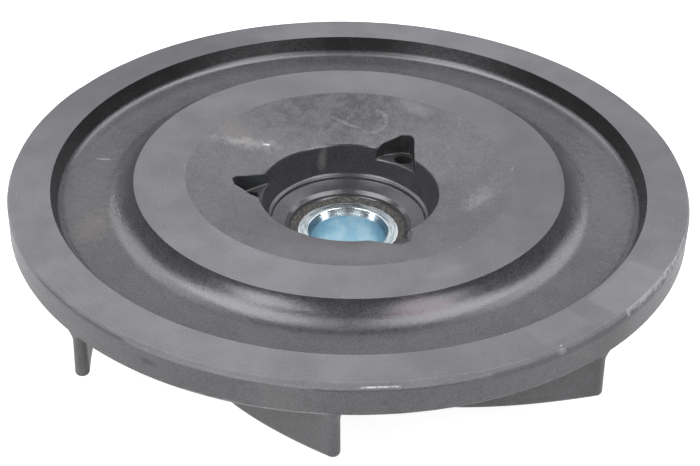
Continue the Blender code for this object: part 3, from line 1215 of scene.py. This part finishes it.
# %% [markdown]
# ## Finishes on their zones
# The moulding is one skin, but the lathe and the knife touched only parts of it. Each face takes
# its finish from its radius, its depth and the way it faces, so a tool's zone ends exactly at the
# edge that the tool left. The groove's outer wall and the pockets take darker copies of the
# moulded plastic, as painted shade.

# %% Give each face of the moulding its finish
ZONES = ["skin", "rim", "plateau", "trimmed", "groove", "groove_wall", "dish", "recess", "pocket"]


def zone(face):
    """Name of the finish that a face of the moulding takes."""
    centre = face.center
    radius = math.hypot(centre.x, centre.y) / MM
    depth = HEIGHT - centre.z / MM
    if radius > 72.0 and depth < 2.0:
        return "rim" if face.normal.z > 0.985 else "trimmed"
    if depth < 0.05 and radius > RIM_EDGE - 0.15:
        return "rim"
    if depth < 0.05 and DISH_EDGE < radius < PLATEAU_EDGE + 0.05:
        return "plateau"
    if PLATEAU_EDGE - 0.2 < radius < RIM_EDGE + 0.25 and depth < GROOVE_DEPTH + 0.2:
        # the groove's outer wall takes its darker copy of the plastic, as painted shade
        return "groove" if radius < 64.2 else "groove_wall"
    if radius < DISH_EDGE + 0.6 and depth < dish_depth(radius) + 0.2 and face.normal.z > 0.5:
        return "dish" if radius > RECESS_CORNER[0] + 0.2 else "recess"
    if radius < 26.5 and depth < 16.0:
        outward = face.normal.xy.dot(centre.xy.normalized())
        mouth_side = radius > 17.9 and abs(face.normal.z) < 0.3 and outward > -0.8
        if mouth_side and radius > 19.5 and centre.y < -12.0 * MM:
            return "trimmed"  # the third pocket's mouth is pale and dull, like the trimmed edge
        beyond_wall = radius > RECESS_CORNER[0] + 0.1 - 0.25 * (depth - RECESS_CORNER[1])
        return "pocket" if beyond_wall or mouth_side else "recess"
    return "skin"


for name in ZONES:
    moulding.data.materials.append(finishes[name])
counts = dict.fromkeys(ZONES, 0)
for face in moulding.data.polygons:
    name = zone(face)
    face.material_index = ZONES.index(name)
    counts[name] += 1
insert.data.materials.append(finishes["zinc"])
scar.data.materials.append(finishes["scar"])
print("faces in each zone:", counts)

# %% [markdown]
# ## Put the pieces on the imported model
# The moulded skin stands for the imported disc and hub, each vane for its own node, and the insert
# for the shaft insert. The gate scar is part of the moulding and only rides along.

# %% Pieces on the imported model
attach(moulding, "root")
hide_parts("back_disc", "hub")
for number in range(8):
    vane_piece = make_vane(number, finishes["skin"])
    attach(vane_piece, "root")
    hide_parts(f"vane_{number + 1}")
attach(insert, "root")
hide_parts("shaft_insert")
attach(scar, "root")

# %% [markdown]
# ## Floor
# The part stands on the nose of its hub, on a white surface that melts into its background. The
# floor glows a little, as a lit white sweep does, so no hard shadow falls on it.

# %% Floor
def white_floor():
    """A wide round floor with the finish of a lit white sweep."""
    build = bmesh.new()
    bmesh.ops.create_circle(build, cap_ends=True, segments=96, radius=2.5)
    bmesh.ops.translate(build, verts=build.verts, vec=(0.0, 0.0, -0.00005))
    floor = as_object("white_floor", build)
    material, nodes = new_finish("white_sweep")
    surface(
        nodes,
        {
            "Base Color": (0.3, 0.3, 0.3, 1.0),
            "Roughness": 0.8,
            "Emission Color": (1.0, 1.0, 1.0, 1.0),
            "Emission Strength": 0.92,
        },
    )
    floor.data.materials.append(material)
    return floor


floor = white_floor()
print("floor radius", round(floor.dimensions.x / 2, 2), "m")

# %% [markdown]
# ## Light
# The photograph was taken in a white tent: light comes from above, from behind and from both
# sides, and the open front, where the camera looks in, is dimmer. Large area lamps stand for the
# tent's walls. The world adds an even, weaker glow.

# %% Lamps and world
TENT_TINT = (1.0, 1.0, 1.045)
TENT_REACH = 0.8
AIM_HEIGHT = 0.03


def tent_lamp(name, elevation, azimuth, width, height, power):
    """A soft lamp on the tent, turned to the part. Azimuth 0 is behind the part, and 90 is right."""
    up = math.radians(elevation)
    round_by = math.radians(azimuth)
    across = TENT_REACH * math.cos(up)
    raised = AIM_HEIGHT + TENT_REACH * math.sin(up)
    place = Vector((across * math.sin(round_by), across * math.cos(round_by), raised))
    aim = Vector((0.0, 0.0, AIM_HEIGHT)) - place
    data = bpy.data.lights.new(name, "AREA")
    data.shape = "RECTANGLE"
    data.size, data.size_y = width, height
    data.energy = power
    data.color = TENT_TINT
    light = in_scene(name, data)
    light.location = place
    light.rotation_euler = aim.to_track_quat("-Z", "Y").to_euler()
    light.visible_camera = False


TENT = {
    "upper_left": (65, 268, 0.5, 0.5, 6.2),
    "upper_right": (65, 92, 0.5, 0.5, 5.6),
    "front_left": (38, 223, 0.38, 0.45, 4.6),
    "front_right": (38, 137, 0.38, 0.45, 3.4),
    "back_right": (42, 45, 0.45, 0.45, 2.6),
    "back_left": (42, 315, 0.45, 0.45, 2.2),
    "back": (38, 0, 0.5, 0.3, 0.6),
    "back_wall": (6, 0, 1.6, 0.25, 0.9),
}
for name, settings in TENT.items():
    tent_lamp(name, *settings)
world = bpy.data.worlds.new("tent_glow")
world.use_nodes = True
glow = world.node_tree.nodes["Background"].inputs
glow["Color"].default_value = (1.0, 1.0, 1.0, 1.0)
glow["Strength"].default_value = 0.06
bpy.context.scene.world = world
bpy.context.scene.view_settings.view_transform = "Standard"

# %% [markdown]
# ## Camera
# The camera was found from the photograph's concentric circles: a long lens about 37 cm from the
# middle of the back face, 32 degrees above it. It is aimed at that middle first, and then tilted,
# panned and rolled a little, because a camera is never held quite straight.

# %% Camera
ELEVATION = math.radians(31.716)
DISTANCE = 0.36802
TILT = math.radians(-2.108)
PAN = math.radians(-0.070)
ROLL = math.radians(1.154)


def turned_pair(first, second, angle):
    """Two axes turned in their own plane."""
    cosine = math.cos(angle)
    sine = math.sin(angle)
    return first * cosine + second * sine, second * cosine - first * sine


right = Vector((1.0, 0.0, 0.0))
up = Vector((0.0, math.sin(ELEVATION), math.cos(ELEVATION)))
behind = Vector((0.0, -math.cos(ELEVATION), math.sin(ELEVATION)))
place = Vector((0.0, 0.0, HEIGHT * MM)) + behind * DISTANCE
up, behind = turned_pair(up, behind, TILT)
right, behind = turned_pair(right, behind, -PAN)
right, up = turned_pair(right, up, ROLL)
data = bpy.data.cameras.new("camera")
data.lens = 84.98
data.sensor_width = 36.0
data.clip_start = 0.01
camera = in_scene("camera", data)
turn = Matrix((right, up, behind)).transposed().to_4x4()
camera.matrix_world = Matrix.Translation(place) @ turn
bpy.context.scene.camera = camera
print("camera at", [round(value, 4) for value in camera.location])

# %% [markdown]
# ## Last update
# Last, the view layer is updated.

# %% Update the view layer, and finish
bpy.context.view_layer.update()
